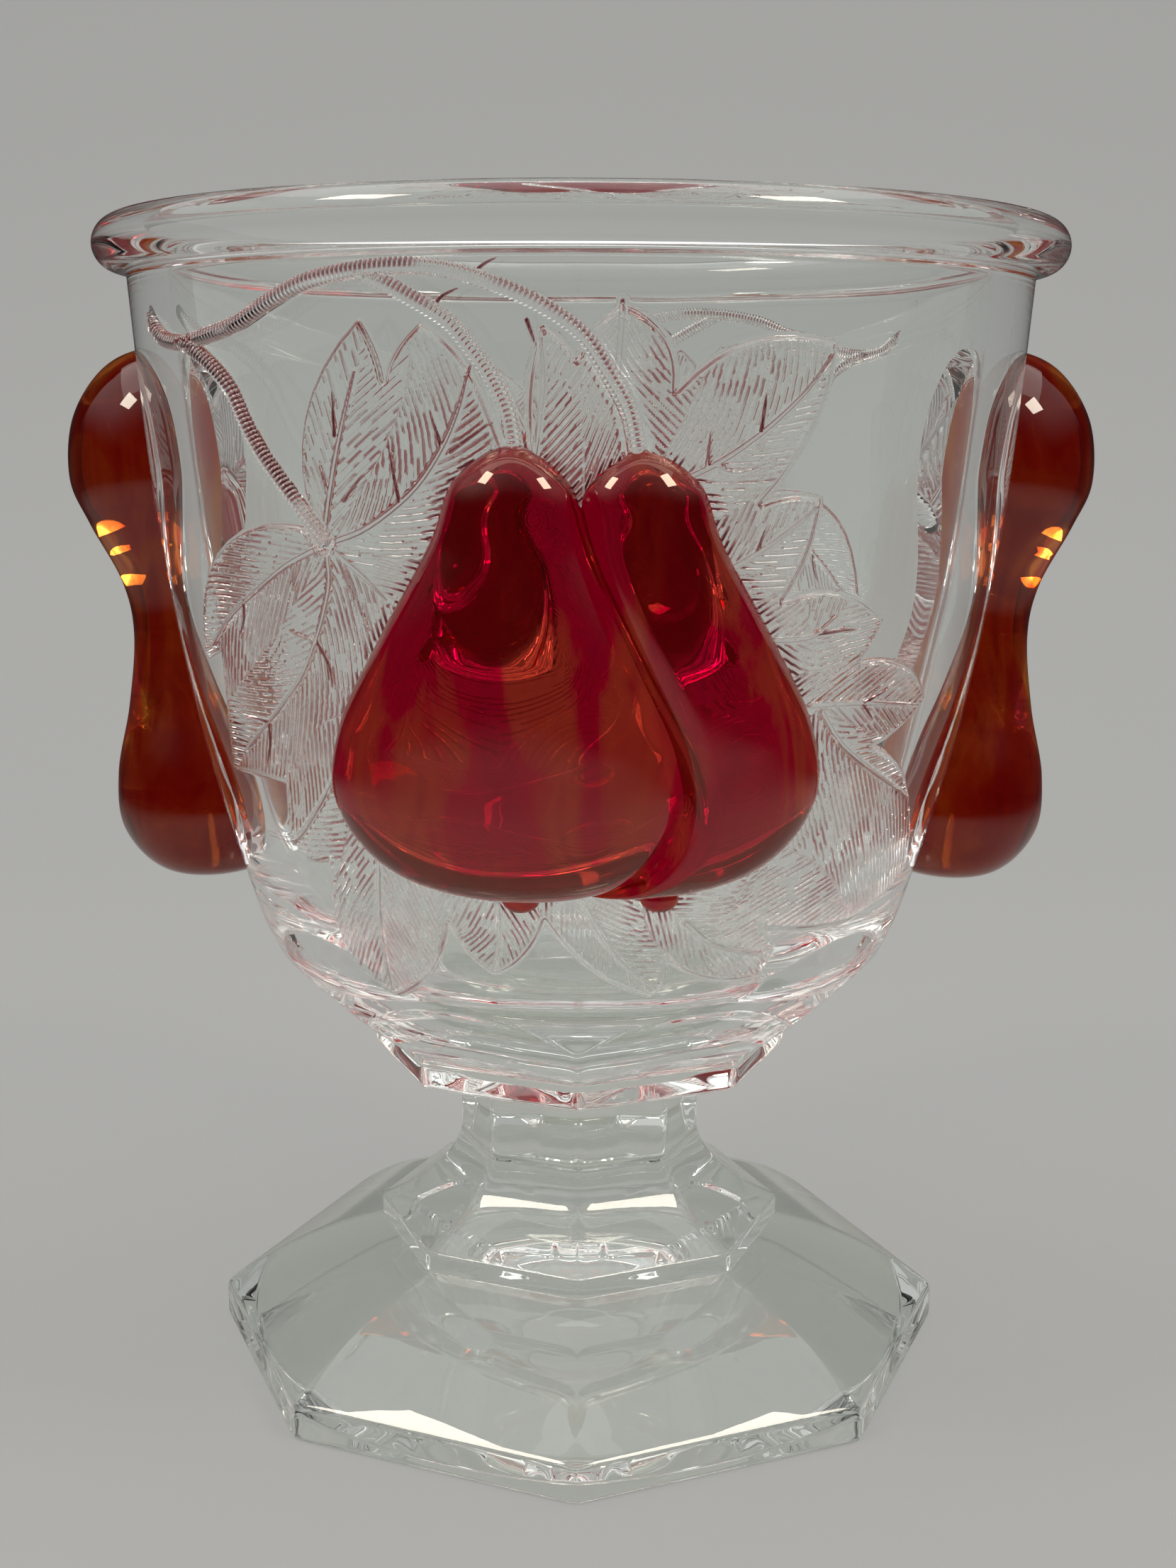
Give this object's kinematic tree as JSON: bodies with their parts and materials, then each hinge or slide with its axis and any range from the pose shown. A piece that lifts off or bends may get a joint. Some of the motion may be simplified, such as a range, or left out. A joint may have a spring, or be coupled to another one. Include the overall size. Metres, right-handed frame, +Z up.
{
  "type": "candy jar",
  "caption": "Footed pressed-glass candy jar with a rolled rim, an octagonal foot, solid stained handles, and stained pears in relief among leaves and twigs.",
  "frame": {"origin": "centre of the foot's underside, on the surface that the jar stands on", "axes": "+Z up along the jar's axis; -Y is the front with its pear relief; +X and -X are the handles"},
  "size_m": [0.1134, 0.1052, 0.127],
  "materials": {
    "clear_glass": "fire-polished pressed soda-lime glass",
    "relief_glass": "pressed glass with a finely hatched relief",
    "ruby_stain": "glossy ruby-stained glass",
    "amber_ruby_stain": "glossy ruby stain thinning to amber"
  },
  "bodies": {
    "root": {"foot": "clear_glass", "foot_step": "clear_glass", "stem": "clear_glass", "collar": "clear_glass", "bowl": "clear_glass", "rim": "clear_glass", "handle_right": "amber_ruby_stain", "handle_left": "amber_ruby_stain", "front_pear_left": "ruby_stain", "front_pear_right": "ruby_stain", "front_calyx_left": "ruby_stain", "front_calyx_right": "ruby_stain", "front_twigs": "relief_glass", "front_leaves_left": "relief_glass", "front_leaves_right": "relief_glass", "front_leaves_bottom": "relief_glass", "back_pear_left": "ruby_stain", "back_pear_right": "ruby_stain", "back_calyx_left": "ruby_stain", "back_calyx_right": "ruby_stain", "back_twigs": "relief_glass", "back_leaves_left": "relief_glass", "back_leaves_right": "relief_glass", "back_leaves_bottom": "relief_glass"}
  },
  "joints": []
}
